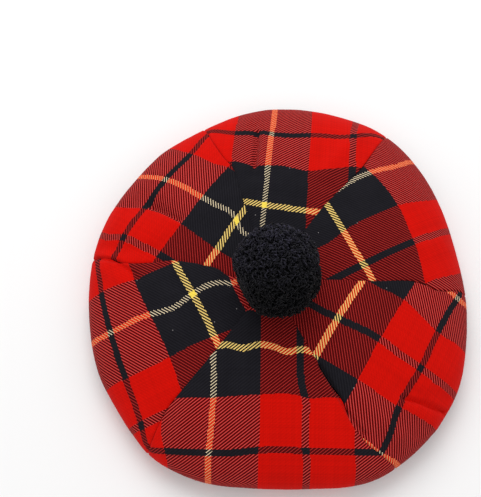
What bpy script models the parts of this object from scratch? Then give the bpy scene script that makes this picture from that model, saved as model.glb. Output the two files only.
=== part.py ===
"""A tam o' shanter: six tartan gores, a ribbed knit headband, a lining and a yarn pompom.

The hat lies crown up on the floor, which is z = 0, with its box centred on the origin.
Sizes are in millimetres and turned into metres by MM. A turn is an angle in degrees about
the crown's middle, counterclockwise from above, from +X. A reach is a distance from there.
"""
import math

import bmesh
import bpy
import numpy as np
from mathutils import Vector

MM = 0.001

# ---- driving dimensions, mm ----------------------------------------------------------
CROWN_TOP = 50.0          # height of the crown's middle, under the pompom
CROWN_RADIUS = 143.0      # mean reach of the soft edge
CLOTH = 1.6               # thickness of the lined wool cloth
SEAM_GAP = 0.34           # between neighbouring pieces
SEAM_SHARPNESS = 8        # the higher, the narrower the dip along a seam
BUTTON = 3.0              # reach at which the six gores begin
FULLNESS = 2.5            # how square-shouldered the crown is: 2 is an ellipse
PUFF = 2.4                # how far the middle of a gore stands above its seams
SEAM_SINK = 1.0           # how far a seam is drawn in
SAG_EDGE = -3.0           # the curve below the edge is pulled toward this height
SAG_INNER = -8.5          # and farther in toward this one, so that it almost lies on the floor
SAG_INNER_REACH = 111.0
GATHERS = 3               # folds of each gore where the band draws it in
GATHER_DEPTH = 1.6

BAND_TOP = 36.0
BAND_UPRIGHT = 29.0       # the band leans inward below this height
BAND_REACH = 91.0         # outer reach at the seam with the crown: a head of 57 cm
BAND_FOOT_REACH = 76.0    # outer reach at its free edge, which the knit draws in
BAND_THICK = 3.8
BAND_FOLD = 0.9           # rounding of the folded free edge
RIBS = 96
RIB_DEPTH = 0.4
GORE_END_REACH = BAND_REACH + RIB_DEPTH + SEAM_GAP + 0.3
GORE_END_HEIGHT = BAND_TOP - 3.5

LINING_THICK = 1.0
LINING_REACH = BAND_REACH - BAND_THICK - RIB_DEPTH - SEAM_GAP
LINING_HEM = 3.0          # how far it reaches down inside the band
LINING_RISE = 8.0
LINING_FOLDS = 8
LINING_FOLD_DEPTH = 0.8
LINING_ROWS = 6
LINING_STEPS = 48

POMPOM = (30.3, 31.6, 28.5)     # half widths in X, Y and Z
POMPOM_PLACE = (4.2, -3.0)      # its middle, from the crown's middle
POMPOM_SEAT = 50.9              # the cloth under it is 0.3 mm lower
POMPOM_FLAT = 0.9               # how much of its lower half is left, where it presses on the cloth
POMPOM_LOCKS = 80
LOCK_HEIGHT = 3.4

ACROSS = 12               # faces across a gore
OVER = 12                 # faces from the button to the edge
UNDER = 7                 # faces from the edge to the band

# The outline of the crown: how far its soft edge reaches at each turn, and how high it lies there.
OUTLINE = (
    # turn, reach, height of the edge
    (5, 145.6, 16.0),
    (15, 145.4, 17.0),
    (25, 148.3, 18.0),
    (40, 155.6, 16.0),
    (55, 160.5, 14.5),
    (70, 157.0, 15.5),
    (90, 151.6, 18.0),
    (112, 142.0, 17.0),
    (127, 139.2, 18.0),
    (140, 135.0, 19.0),
    (154, 134.8, 18.6),
    (185, 132.7, 17.5),
    (205, 136.5, 16.5),
    (217, 138.0, 16.0),
    (227, 141.5, 15.5),
    (235, 144.8, 15.0),
    (250, 144.6, 16.2),
    (266, 140.9, 17.5),
    (280, 143.3, 18.0),
    (298, 152.7, 16.0),
    (320, 154.1, 17.0),
    (332, 153.0, 17.6),
    (345, 148.2, 18.5),
)

# Each gore lies between two seams. A seam sweeps round a little on its way out: its turn at the
# button, halfway and at the edge. Sewn by hand, it also strays to either side.
SEAMS = {
    # seam: (turn at the button, halfway, at the edge)
    "right_low": (359.0, 359.5, 358.5),
    "right_top": (54.0, 52.5, 53.0),
    "top_left": (106.0, 107.0, 110.5),
    "left_high": (166.5, 170.0, 169.5),
    "left_low": (233.5, 232.0, 234.0),
    "low_right": (298.0, 299.5, 304.0),
}
SEAM_BENDS = {
    # seam: (share of the way out, how far the sewn seam strays there, mm counterclockwise)
    "right_low": ((0.5, 0.0), (0.76, 0.9), (0.82, -2.2), (0.89, -1.3), (0.96, 0.9), (1.0, 0.0)),
    "right_top": ((0.25, 1.6), (0.45, 1.8), (0.62, 0.0), (0.74, -0.7), (0.88, 0.5), (1.0, 0.6)),
    "top_left": ((0.4, 0.3), (0.55, -1.3), (0.65, -2.9), (0.71, 0.2), (0.84, 1.3), (1.0, 0.0)),
    "left_high": ((0.2, 4.3), (0.3, -1.3), (0.37, -2.1), (0.54, -2.9), (0.64, 0.1), (0.83, 1.8),
                  (0.89, -0.7), (1.0, -0.8)),
    "left_low": ((0.3, 1.3), (0.45, 1.4), (0.68, -0.6), (0.8, -2.1), (0.9, -1.2), (1.0, 0.0)),
    "low_right": ((0.3, -0.2), (0.55, -1.1), (0.655, -0.8), (0.735, -4.6), (0.8, -4.9), (0.86, -3.8),
                  (0.91, -0.9), (1.0, 0.6)),
}
BEND_INNER = 0.2          # a bend keeps its angle nearer the button than this share
GORES = (
    # gore, first seam, last seam (counterclockwise)
    ("gore_right", "right_low", "right_top"),
    ("gore_top", "right_top", "top_left"),
    ("gore_upper_left", "top_left", "left_high"),
    ("gore_left", "left_high", "left_low"),
    ("gore_bottom", "left_low", "low_right"),
    ("gore_lower_right", "low_right", "right_low"),
)

# Soft ridges and dents of the crown: from one place to another, half width, height (below 0 a dent).
FOLDS = (
    # turn, reach, turn, reach, half width, height
    (141, 92, 148, 118, 9.0, -2.6),
    (165, 88, 166, 134, 6.0, -2.4),
    (306, 96, 309, 140, 6.5, 2.6),
    (319, 118, 326, 148, 6.0, -1.8),
    (63, 96, 60, 142, 7.0, 2.2),
    (238, 100, 239, 138, 7.0, 1.8),
    (97, 84, 95, 128, 5.0, -1.4),
    (12, 86, 14, 132, 8.0, 1.6),
)


# ---- the shape of the crown ----------------------------------------------------------
def smooth_outline(turn, column):
    """Read a column of OUTLINE as a smooth closed curve through its rows."""
    turn = turn % 360
    count = len(OUTLINE)
    after = next((i for i, row in enumerate(OUTLINE) if row[0] > turn), count)
    turns, values = [], []
    for index in range(after - 2, after + 2):
        turns.append(OUTLINE[index % count][0] + 360 * (index // count))
        values.append(OUTLINE[index % count][column])
    span = turns[2] - turns[1]
    part = (turn - turns[1]) / span
    slope_in = (values[2] - values[0]) / (turns[2] - turns[0]) * span
    slope_out = (values[3] - values[1]) / (turns[3] - turns[1]) * span
    part2, part3 = part ** 2, part ** 3
    return ((2 * part3 - 3 * part2 + 1) * values[1] + (part3 - 2 * part2 + part) * slope_in
            + (3 * part2 - 2 * part3) * values[2] + (part3 - part2) * slope_out)


def edge_reach(turn):
    return smooth_outline(turn, 1)


def edge_height(turn):
    return smooth_outline(turn, 2)


def box_shift():
    """Where the crown's middle goes, so that the outline's box is centred on the origin."""
    points = []
    for turn in range(360):
        reach = edge_reach(turn)
        angle = math.radians(turn)
        points.append((reach * math.cos(angle), reach * math.sin(angle)))
    middle = [(min(axis) + max(axis)) / 2 for axis in zip(*points)]
    return -middle[0], -middle[1]


MIDDLE = box_shift()


def seam_turn(seam, share):
    """The seam's turn at a share of the way out: a parabola through three values, and its bends."""
    start, half, end = SEAMS[seam]
    plain = (start * (1 - share) * (1 - 2 * share) + 4 * half * share * (1 - share)
             + end * share * (2 * share - 1))
    stray = float(np.interp(share, *zip(*SEAM_BENDS[seam])))
    return plain + math.degrees(stray / (CROWN_RADIUS * max(share, BEND_INNER)))


def fold_height(x, y):
    """Sum of the ridges and dents at a place seen from above, with the crown's middle at 0, 0."""
    total = 0.0
    here = Vector((x, y))
    for turn_a, reach_a, turn_b, reach_b, half_width, height in FOLDS:
        a = Vector((math.cos(math.radians(turn_a)), math.sin(math.radians(turn_a)))) * reach_a
        b = Vector((math.cos(math.radians(turn_b)), math.sin(math.radians(turn_b)))) * reach_b
        along = b - a
        share = min(max((here - a).dot(along) / along.length_squared, 0.0), 1.0)
        away = (here - a - along * share).length
        total += height * math.exp(-(away / half_width) ** 2)
    return total


def share_at(lean):
    """How much of the way to the edge the cloth has reached at a lean."""
    return math.sin(lean) ** (2 / FULLNESS)


def over_point(turn, lean, v):
    """A point on the upper cloth: lean is 0 at the middle and a right angle at the edge."""
    share = share_at(lean)
    reach = edge_reach(turn) * share
    swell = PUFF * (1 - v * v) * math.sin(math.pi * min(share, 1.0))
    seam = abs(v) ** SEAM_SHARPNESS
    sink = SEAM_SINK * seam * math.sin(math.pi * min(share, 1.0))
    x, y = reach * math.cos(math.radians(turn)), reach * math.sin(math.radians(turn))
    low = edge_height(turn)
    level = math.cos(lean)
    z = low + (CROWN_TOP - low) * level + swell - sink + fold_height(x, y) * min(1.0, 3 * level)
    return x, y, z


def under_point(turn, share, v):
    """A point on the cloth below, on a curve of four handles: share is 0 at the edge, 1 at the band."""
    edge = edge_reach(turn)
    left = 1 - share
    weights = (left ** 3, 3 * left ** 2 * share, 3 * left * share ** 2, share ** 3)
    reaches = (edge, edge, SAG_INNER_REACH, GORE_END_REACH)
    heights = (edge_height(turn), SAG_EDGE, SAG_INNER, GORE_END_HEIGHT)
    reach = sum(w * r for w, r in zip(weights, reaches))
    z = sum(w * h for w, h in zip(weights, heights))
    gather = GATHER_DEPTH * math.sqrt(share) * math.cos(math.pi * GATHERS * (v + 1))
    angle = math.radians(turn)
    return reach * math.cos(angle), reach * math.sin(angle), z + gather


def gore_turn(first, last, share, v):
    """The turn at v, which is -1 on the gore's first seam and 1 on its last."""
    turn_a, turn_b = seam_turn(first, share), seam_turn(last, share)
    if turn_b < turn_a:
        turn_a -= 360
    return turn_a + (turn_b - turn_a) * (v + 1) / 2


def gore_point(first, last, row, v):
    """A point of a gore, row by row from the button to the band, set back from its seams."""
    if row <= OVER:
        start = math.asin((BUTTON / CROWN_RADIUS) ** (FULLNESS / 2))
        lean = start + (math.pi / 2 - start) * row / OVER
        turn = gore_turn(first, last, share_at(lean), v)
        x, y, z = over_point(turn, lean, v)
    else:
        turn = gore_turn(first, last, 1.0, v)
        x, y, z = under_point(turn, (row - OVER) / UNDER, v)
    inset = -v * abs(v) ** SEAM_SHARPNESS * SEAM_GAP / 2
    side = math.radians(turn + 90)
    return x + inset * math.cos(side) + MIDDLE[0], y + inset * math.sin(side) + MIDDLE[1], z


# ---- small tools ---------------------------------------------------------------------
def clear_scene():
    for thing in list(bpy.data.objects):
        bpy.data.objects.remove(thing, do_unlink=True)


def finish_mesh(name, bm, collection):
    """Turn a bmesh, whose points are in mm, into a named object in metres."""
    bmesh.ops.scale(bm, vec=(MM, MM, MM), verts=bm.verts)
    mesh = bpy.data.meshes.new(name)
    bm.to_mesh(mesh)
    bm.free()
    thing = bpy.data.objects.new(name, mesh)
    collection.objects.link(thing)
    return thing


def solidify(thing, thickness):
    """Thicken an open surface toward the inside of the hat."""
    shell = thing.modifiers.new("wall", "SOLIDIFY")
    shell.thickness = thickness * MM
    shell.offset = -1.0
    shell.use_even_offset = False


def material(name, colour, roughness):
    made = bpy.data.materials.new(name)
    made.use_nodes = True
    shader = made.node_tree.nodes["Principled BSDF"]
    shader.inputs["Base Color"].default_value = (*colour, 1.0)
    shader.inputs["Roughness"].default_value = roughness
    shader.inputs["Metallic"].default_value = 0.0
    return made


def turned(bm, profile, steps):
    """Spin an open or closed profile of (reach, height) points about the upright axis."""
    points = [bm.verts.new((reach, 0.0, z)) for reach, z in profile]
    edges = [bm.edges.new(pair) for pair in zip(points, points[1:])]
    bmesh.ops.spin(bm, geom=points + edges, cent=(0, 0, 0), axis=(0, 0, 1), dvec=(0, 0, 0),
                   angle=math.tau, steps=steps, use_merge=True)
    bmesh.ops.remove_doubles(bm, verts=bm.verts, dist=0.001)
    bmesh.ops.recalc_face_normals(bm, faces=bm.faces)


# ---- the pieces ----------------------------------------------------------------------
def make_gore(name, first, last, collection):
    """One gore: a flat grid bent over the crown, the edge and the underside."""
    rows = OVER + UNDER
    bm = bmesh.new()
    bmesh.ops.create_grid(bm, x_segments=ACROSS, y_segments=rows, size=1.0)
    for vert in bm.verts:
        v = vert.co.x
        row = round((vert.co.y + 1) / 2 * rows)
        vert.co = gore_point(first, last, row, v)
    bmesh.ops.reverse_faces(bm, faces=bm.faces)
    gore = finish_mesh(name, bm, collection)
    solidify(gore, CLOTH)
    return gore


def make_headband(collection):
    """The knit band: a turned section whose ribs are pushed out and in, step by step."""
    foot, top, thick = BAND_FOOT_REACH, BAND_REACH, BAND_THICK
    profile = [(foot - BAND_FOLD, 0), (foot, BAND_FOLD), (top, BAND_UPRIGHT), (top, BAND_TOP),
               (top - thick, BAND_TOP), (top - thick, BAND_UPRIGHT),
               (foot - thick, BAND_FOLD), (foot - thick + BAND_FOLD, 0)]
    bm = bmesh.new()
    turned(bm, profile + profile[:1], RIBS * 2)
    for vert in bm.verts:
        reach = math.hypot(vert.co.x, vert.co.y)
        wave = math.cos(RIBS * math.atan2(vert.co.y, vert.co.x))
        grow = (reach + RIB_DEPTH * wave) / reach
        vert.co = (vert.co.x * grow + MIDDLE[0], vert.co.y * grow + MIDDLE[1], vert.co.z)
    return finish_mesh("headband", bm, collection)


def make_lining(collection):
    """The lining: a low dome sewn inside the top of the band, with shallow folds."""
    profile = [(LINING_REACH, BAND_TOP - LINING_HEM)]
    for row in range(LINING_ROWS + 1):
        angle = math.pi / 2 * row / LINING_ROWS
        profile.append((LINING_REACH * math.cos(angle), BAND_TOP + LINING_RISE * math.sin(angle)))
    bm = bmesh.new()
    turned(bm, profile, LINING_STEPS)
    for vert in bm.verts:
        share = math.hypot(vert.co.x, vert.co.y) / LINING_REACH
        wave = 1 + math.cos(LINING_FOLDS * math.atan2(vert.co.y, vert.co.x))
        dip = LINING_FOLD_DEPTH * wave * math.sin(math.pi * min(share, 1.0))
        vert.co += Vector((MIDDLE[0], MIDDLE[1], -dip))
    lining = finish_mesh("lining", bm, collection)
    solidify(lining, LINING_THICK)
    return lining


def lock_places():
    """Directions of the pompom's locks, spread evenly over a ball by the golden angle."""
    golden = math.pi * (3 - math.sqrt(5))
    places = []
    for index in range(POMPOM_LOCKS):
        z = 1 - 2 * (index + 0.5) / POMPOM_LOCKS
        wide = math.sqrt(1 - z * z)
        places.append(Vector((wide * math.cos(index * golden), wide * math.sin(index * golden), z)))
    return places


def make_pompom(collection):
    """The pompom: a ball drawn out into locks of yarn, pressed flat where it sits on the crown."""
    bm = bmesh.new()
    bmesh.ops.create_icosphere(bm, subdivisions=4, radius=1.0)
    places = lock_places()
    lock_radius = 2 / math.sqrt(POMPOM_LOCKS)
    for vert in bm.verts:
        way = vert.co.normalized()
        nearest = min((way - place).length for place in places)
        groove = LOCK_HEIGHT * min(nearest / lock_radius, 1.0) ** 2
        grow = 1 - groove / POMPOM[2]
        vert.co = [axis * half * grow for axis, half in zip(way, POMPOM)]
        vert.co.z = max(vert.co.z, -POMPOM_FLAT * POMPOM[2])
    lowest = min(vert.co.z for vert in bm.verts)
    place = Vector((POMPOM_PLACE[0] + MIDDLE[0], POMPOM_PLACE[1] + MIDDLE[1], POMPOM_SEAT - lowest))
    bmesh.ops.translate(bm, vec=place, verts=bm.verts)
    return finish_mesh("pompom", bm, collection)


def build():
    clear_scene()
    hat = bpy.data.collections.new("tam_o_shanter")
    bpy.context.scene.collection.children.link(hat)
    for name, first, last in GORES:
        gore = make_gore(name, first, last, hat)
        gore.data.materials.append(material(name + "_cloth", (0.45, 0.01, 0.008), 0.85))
    make_headband(hat).data.materials.append(material("headband_knit", (0.012, 0.013, 0.018), 0.9))
    make_lining(hat).data.materials.append(material("lining_cloth", (0.02, 0.026, 0.036), 0.7))
    make_pompom(hat).data.materials.append(material("pompom_yarn", (0.008, 0.008, 0.012), 0.95))


build()
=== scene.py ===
# %% [markdown]
# # A tartan tam o' shanter
# This lesson dresses a plain solid model of a tam o' shanter, so that it looks like wool cloth,
# ribbed knitting and yarn. The solid model gives the places and the sizes, and every piece made
# here stands in for one of its solids. The hat lies crown up on the floor: six tartan gores from
# a pompom over a soft edge to a knit band, with a lining inside.
#
# Sizes are written in millimetres, as a hat maker would, and MM turns them into metres, which is
# what Blender works in. A turn is an angle in degrees about the crown's middle, counterclockwise
# from above. A reach is a distance from there.

# %% Load the solid model
import math

import bmesh
import bpy
import numpy as np
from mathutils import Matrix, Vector, noise


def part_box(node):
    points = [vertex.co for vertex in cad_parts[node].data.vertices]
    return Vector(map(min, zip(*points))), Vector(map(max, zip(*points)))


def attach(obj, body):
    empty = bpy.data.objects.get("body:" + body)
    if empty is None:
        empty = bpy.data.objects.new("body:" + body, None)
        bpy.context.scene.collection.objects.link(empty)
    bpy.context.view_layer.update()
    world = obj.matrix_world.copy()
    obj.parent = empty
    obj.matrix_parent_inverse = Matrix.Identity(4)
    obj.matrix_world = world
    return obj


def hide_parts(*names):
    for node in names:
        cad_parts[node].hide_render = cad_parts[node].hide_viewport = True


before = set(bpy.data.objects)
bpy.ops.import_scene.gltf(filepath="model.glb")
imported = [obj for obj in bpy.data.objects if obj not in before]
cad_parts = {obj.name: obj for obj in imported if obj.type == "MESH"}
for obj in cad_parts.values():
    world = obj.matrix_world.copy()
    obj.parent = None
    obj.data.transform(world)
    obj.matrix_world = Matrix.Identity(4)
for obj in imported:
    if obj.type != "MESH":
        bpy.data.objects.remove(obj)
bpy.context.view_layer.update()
MM = 0.001
band_low, band_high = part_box("headband")
MIDDLE = ((band_low.x + band_high.x) / 2 / MM, (band_low.y + band_high.y) / 2 / MM)
print("solids:", ", ".join(sorted(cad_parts)))
print("middle of the crown, mm:", [round(place, 2) for place in MIDDLE])

# %% [markdown]
# ## Camera
# A picture is matched from the camera first, because everything else is judged through it. The
# hat is seen from above and a little from the front. The lens could be turned by eye until it
# fits. Here it follows from how wide the view is, so that a mark on a picture can be traced to a
# place on the hat. An ordinary portrait lens, not too near, keeps the round crown round.

# %% Place the camera
CAMERA_HEIGHT_ANGLE = 70.0
CAMERA_DISTANCE = 620.0
CAMERA_AIM = (-20.5, 31.7, 25.0)          # from the crown's middle, on the floor
PICTURE_HEIGHT = 497
FOCAL_IN_PIXELS = 830
SENSOR_WIDTH = 36.0


def place_camera():
    data = bpy.data.cameras.new("camera")
    data.sensor_width = SENSOR_WIDTH
    data.lens = SENSOR_WIDTH * FOCAL_IN_PIXELS / PICTURE_HEIGHT
    camera = bpy.data.objects.new("camera", data)
    bpy.context.scene.collection.objects.link(camera)
    up = math.radians(CAMERA_HEIGHT_ANGLE)
    back = Vector((0, -math.cos(up), math.sin(up)))
    aim = Vector(CAMERA_AIM) + Vector((*MIDDLE, 0))
    camera.location = (aim + back * CAMERA_DISTANCE) * MM
    camera.rotation_euler = (math.pi / 2 - up, 0, 0)
    bpy.context.scene.camera = camera
    return camera


camera = place_camera()
print("lens, mm:", round(camera.data.lens, 1))

# %% [markdown]
# ## Making materials from nodes
# A material is a small graph. Numbers flow from the left to the right, from a place on the cloth
# to a colour and a height. It could be drawn by hand in the shader editor, but a written graph
# can be read, compared and changed in one place. These helpers keep each line of it short: one
# makes a material, one does arithmetic, one mixes colours.

# %% Small tools for node graphs
def new_material(name, roughness, sheen=0.0, sheen_roughness=0.5, gloss=0.05):
    """A material whose shader has its plain settings, ready for colour and bump."""
    made = bpy.data.materials.new(name)
    made.use_nodes = True
    shader = made.node_tree.nodes["Principled BSDF"]
    shader.inputs["Roughness"].default_value = roughness
    shader.inputs["Sheen Weight"].default_value = sheen
    shader.inputs["Sheen Roughness"].default_value = sheen_roughness
    shader.inputs["Specular IOR Level"].default_value = gloss
    return made, made.node_tree, shader


def feed(tree, socket, value):
    """Join a socket to another one, or set it to a plain number or colour."""
    if isinstance(value, bpy.types.NodeSocket):
        tree.links.new(value, socket)
    elif value is not None:
        socket.default_value = value


def sums(tree, operation, first, second=None, third=None):
    """One step of arithmetic in a node graph."""
    node = tree.nodes.new("ShaderNodeMath")
    node.operation = operation
    for socket, value in zip(node.inputs, (first, second, third)):
        feed(tree, socket, value)
    return node.outputs[0]


def blended(tree, kind, amount, below, above):
    """One colour laid over another."""
    node = tree.nodes.new("ShaderNodeMix")
    node.data_type = "RGBA"
    node.blend_type = kind
    feed(tree, node.inputs["Factor"], amount)
    feed(tree, node.inputs["A"], below)
    feed(tree, node.inputs["B"], above)
    return node.outputs["Result"]


def cloudiness(tree, place, scale, detail=2.0):
    """Soft random values from 0 to 1, about 1/scale of a metre apart."""
    node = tree.nodes.new("ShaderNodeTexNoise")
    node.inputs["Scale"].default_value = scale
    node.inputs["Detail"].default_value = detail
    feed(tree, node.inputs["Vector"], place)
    return node.outputs["Fac"]


def object_place(tree):
    """Where a place is on the whole hat, in metres."""
    return tree.nodes.new("ShaderNodeTexCoord").outputs["Object"]


def bumped(tree, shader, height, distance, strength=1.0):
    """Turn a height, 0 to 1, into slopes that catch the light. The distance is in metres."""
    node = tree.nodes.new("ShaderNodeBump")
    node.inputs["Strength"].default_value = strength
    node.inputs["Distance"].default_value = distance
    feed(tree, node.inputs["Height"], height)
    feed(tree, shader.inputs["Normal"], node.outputs["Normal"])


def paint(red, green, blue):
    """A colour from the 0 to 255 numbers of a paint chart, as the light that it sends back."""
    def light(part):
        part = part / 255
        return part / 12.92 if part <= 0.04045 else ((part + 0.055) / 1.055) ** 2.4
    return (light(red), light(green), light(blue), 1.0)


def shades(colour, low, high):
    """A darker and a lighter shade of a colour."""
    return [[part * much for part in colour[:3]] + [1.0] for much in (low, high)]


print("light from half grey paint:", round(paint(128, 128, 128)[0], 3))

# %% [markdown]
# ## Making pieces from points
# Every piece of the hat is a list of points and the faces between them, worked out by a few lines
# of arithmetic. It could be sculpted by hand instead, but a formula follows the solids closely
# and can be changed later. Two helpers turn such a list into a piece, and lay a map of the flat
# cloth on it. A map gives each point its place on the cloth before it was sewn, and the materials
# read it.

# %% Small tools for pieces
def new_piece(name, points, faces, finish):
    """Points in mm and the faces between them, as a smooth piece of one material."""
    mesh = bpy.data.meshes.new(name)
    mesh.from_pydata((np.reshape(points, (-1, 3)) * MM).tolist(), [], faces)
    mesh.polygons.foreach_set("use_smooth", [True] * len(mesh.polygons))
    mesh.materials.append(finish)
    piece = bpy.data.objects.new(name, mesh)
    bpy.context.scene.collection.objects.link(piece)
    return piece


def lay_map(piece, title, places):
    """Give every point of a piece its two numbers on a UV map."""
    corners = np.empty(len(piece.data.loops), dtype=np.int32)
    piece.data.loops.foreach_get("vertex_index", corners)
    layer = piece.data.uv_layers.new(name=title)
    layer.data.foreach_set("uv", places.reshape(-1, 2)[corners].ravel())


def grid_faces(rows, columns):
    """The four-sided faces between the points of a grid."""
    index = np.arange(rows * columns).reshape(rows, columns)
    corners = (index[:-1, :-1], index[1:, :-1], index[1:, 1:], index[:-1, 1:])
    return np.stack(corners, axis=-1).reshape(-1, 4).tolist()


print("faces between 3 x 3 points:", len(grid_faces(3, 3)))

# %% [markdown]
# ## Floor and light
# The hat lies on a plain pale floor. Wool has no shine that needs several lamps, so one large
# soft lamp beyond the top of the picture gives the gentle shading of cloth, and a bright even
# surround fills the shadows, as in a light tent.

# %% Lay the floor
FLOOR_SIZE = 12000.0
FLOOR_PALE = (0.89, 0.89, 0.89, 1.0)
FLOOR_SHADE = (0.9, 0.9, 0.9, 1.0)          # of the paper's grain
FLOOR_GRAIN, FLOOR_GRAIN_SHOWS = 40.0, 0.02


def floor_paper():
    made, tree, shader = new_material("floor_paper", roughness=0.9)
    grain = cloudiness(tree, object_place(tree), FLOOR_GRAIN)
    shown = sums(tree, "MULTIPLY", grain, FLOOR_GRAIN_SHOWS)
    feed(tree, shader.inputs["Base Color"],
         blended(tree, "MULTIPLY", shown, FLOOR_PALE, FLOOR_SHADE))
    return made


far = FLOOR_SIZE / 2
floor = new_piece("floor", [(-far, -far, 0), (far, -far, 0), (far, far, 0), (-far, far, 0)],
                  [(0, 1, 2, 3)], floor_paper())
print("floor, m:", FLOOR_SIZE * MM)

# %% Set the lights
SURROUND = 0.785
LAMP_PLACE = (-150.0, 900.0, 1300.0)
LAMP_SIZE = 1100.0
LAMP_POWER = 12.3


def set_lights():
    world = bpy.data.worlds.new("surround")
    world.use_nodes = True
    sky = world.node_tree.nodes["Background"]
    sky.inputs["Color"].default_value = (1.0, 1.0, 1.0, 1.0)
    sky.inputs["Strength"].default_value = SURROUND
    bpy.context.scene.world = world
    data = bpy.data.lights.new("lamp", "AREA")
    data.size = LAMP_SIZE * MM
    data.energy = LAMP_POWER
    lamp = bpy.data.objects.new("lamp", data)
    lamp.location = Vector(LAMP_PLACE) * MM
    lamp.rotation_euler = (-Vector(LAMP_PLACE)).to_track_quat("-Z", "Y").to_euler()
    bpy.context.scene.collection.objects.link(lamp)
    bpy.context.scene.view_settings.view_transform = "Standard"


set_lights()
print("lamp, W:", LAMP_POWER)

# %% [markdown]
# ## The tartan
# Tartan is woven from two sets of threads with the same order of colours, called the sett. Here
# the sett turns back at two pivots: from the middle of a yellow stripe through black and red to
# the middle of a thin black stripe, and back again. Where a red thread crosses a black one, both
# show, in the fine slanted lines of a twill. In a 2/2 twill each thread passes over two and under
# two, one step farther along in each row.
#
# It could be a picture of cloth that is wrapped round the hat, but a picture blurs close up. So
# the material does the same sums as a loom. It numbers the threads, asks the sett for the colour
# of each, and lets the twill say which one is on top.

# %% The sett
QUARTER = 33.2                    # of the repeat: from the middle of the yellow to the red edge
RUNNING_STRIPES = (3.7, 5.2)      # widths of the yellow and the thin black stripe that run outward
CROSSING_STRIPES = (4.2, 5.0)     # and of the ones round the crown
CLOTH_RED = paint(199, 11, 2)
CLOTH_BLACK = paint(21, 20, 25)
YELLOW_RUNNING = paint(250, 230, 190)
YELLOW_CROSSING = paint(236, 203, 116)


def sett_colours(tree, place, yellow, widths):
    """The colour of a thread from its place in the sett, mm, which turns back at a pivot."""
    whole = 2 * QUARTER
    folded = sums(tree, "DIVIDE", sums(tree, "PINGPONG", place, whole), whole)
    ramp = tree.nodes.new("ShaderNodeValToRGB")
    ramp.color_ramp.interpolation = "CONSTANT"
    yellow_half, black_half = (width / 2 / whole for width in widths)
    stops = [(0.0, yellow), (yellow_half, CLOTH_BLACK), (QUARTER / whole, CLOTH_RED),
             (1 - black_half, CLOTH_BLACK)]
    elements = ramp.color_ramp.elements
    while len(elements) < len(stops):
        elements.new(0.5)
    for element, (position, colour) in zip(elements, stops):
        element.position = position
        element.color = colour
    feed(tree, ramp.inputs["Fac"], folded)
    return ramp.outputs["Color"]


print("repeat of the sett, mm:", 4 * QUARTER)

# %% The threads
RUNNING_THREAD = 0.72             # pitch of the threads that run from the button to the band
CROSSING_THREAD = 0.57            # pitch of the threads that run round the crown


def threads(tree, place, pitch):
    """The number of the thread at a place in mm, and how far across it the place is, 0 to 1."""
    counted = sums(tree, "DIVIDE", place, pitch)
    return sums(tree, "FLOOR", counted), sums(tree, "FRACT", counted)


def thread_middle(tree, place, part, pitch):
    """The place in the sett of the middle of the thread, so that a whole thread has one colour."""
    from_middle = sums(tree, "MULTIPLY", sums(tree, "SUBTRACT", part, 0.5), pitch)
    return sums(tree, "SUBTRACT", place, from_middle)


def uneven(tree, number, seed):
    """A little lighter or darker for every thread, because no two are spun alike."""
    node = tree.nodes.new("ShaderNodeTexWhiteNoise")
    node.noise_dimensions = "1D"
    feed(tree, node.inputs["W"], sums(tree, "ADD", number, seed))
    return node.outputs["Value"]


def rounded(tree, part):
    """The round back of a thread, from how far across it a place is: 0 at its sides, 1 on top."""
    centred = sums(tree, "MULTIPLY_ADD", part, 2.0, -1.0)
    return sums(tree, "SUBTRACT", 1.0, sums(tree, "MULTIPLY", centred, centred))


def map_in_mm(tree, name):
    """The two numbers of a UV map, in mm of cloth."""
    source = tree.nodes.new("ShaderNodeUVMap")
    source.uv_map = name
    parts = tree.nodes.new("ShaderNodeSeparateXYZ")
    feed(tree, parts.inputs[0], source.outputs["UV"])
    return [sums(tree, "DIVIDE", parts.outputs[axis], MM) for axis in ("X", "Y")]


for pitch in (RUNNING_THREAD, CROSSING_THREAD):
    print("threads to a repeat:", round(4 * QUARTER / pitch))

# %% [markdown]
# Wool is hairy, so two threads that cross lend each other some colour. A weave that only picked
# one thread or the other would look like paper. Where red crosses black, red fluff lies over the
# black, so the dark lines of the twill look dark red. A painted highlight makes the tops of the red
# threads pale, and painted shade darkens the gaps between the floats, and red threads beside black
# ones. Where red crosses yellow, both turn orange. Where two yellow stripes cross, the yellow is at
# its brightest. Where both threads are black, or both are red, there is nothing to mix.

# %% What the threads lend each other, and painted highlight and shade
RED_FLUFF = paint(76, 4, 6)                 # of red threads, over the black ones between them
TOPS_HIGHLIGHT = (0.10, 0.15, 0.145, 1.0)        # painted highlight, added to the tops of red threads
ORANGE_RUNNING = (1.0, 0.58, 0.36, 1.0)     # what red fluff leaves of a yellow running thread
ORANGE_CROSSING = (1.0, 0.60, 0.85, 1.0)    # and of a yellow crossing thread
YELLOW_SHADE = (0.65, 0.4, 0.4, 1.0)        # painted shade between a red and a yellow thread
YELLOW_FLUFF = (0.12, 0.03, 0.01, 1.0)      # what a yellow thread adds to the red ones over it
BRIGHT_YELLOW = paint(242, 214, 84)         # where two yellow stripes cross
FAR_APART = 0.5                   # red and black threads differ by more than this in redness
BOTH_YELLOW = 0.3                 # and two yellow ones have greens with a larger product than this
RED_OVER_YELLOW = 3.0             # these two bring the strength of each kind of orange to about 1
RED_UNDER_YELLOW = -2.0
RUNNING_SHADED, CROSSING_SHADED = 0.25, 0.15  # how far each is darkened by the other thread's hair and by painted shade
RUNNING_HIGHLIGHT = 0.16               # how much of the painted highlight a red running thread gets
STILL_DARK = 0.1                  # what is less red than this gets red fluff


def red_and_green(tree, colour):
    """How much more red than green there is in a colour, and its green."""
    parts = tree.nodes.new("ShaderNodeSeparateColor")
    feed(tree, parts.inputs[0], colour)
    redness = sums(tree, "SUBTRACT", parts.outputs["Red"], parts.outputs["Green"])
    return redness, parts.outputs["Green"]


print("red fluff over black:", [round(part, 3) for part in RED_FLUFF[:3]])

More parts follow.
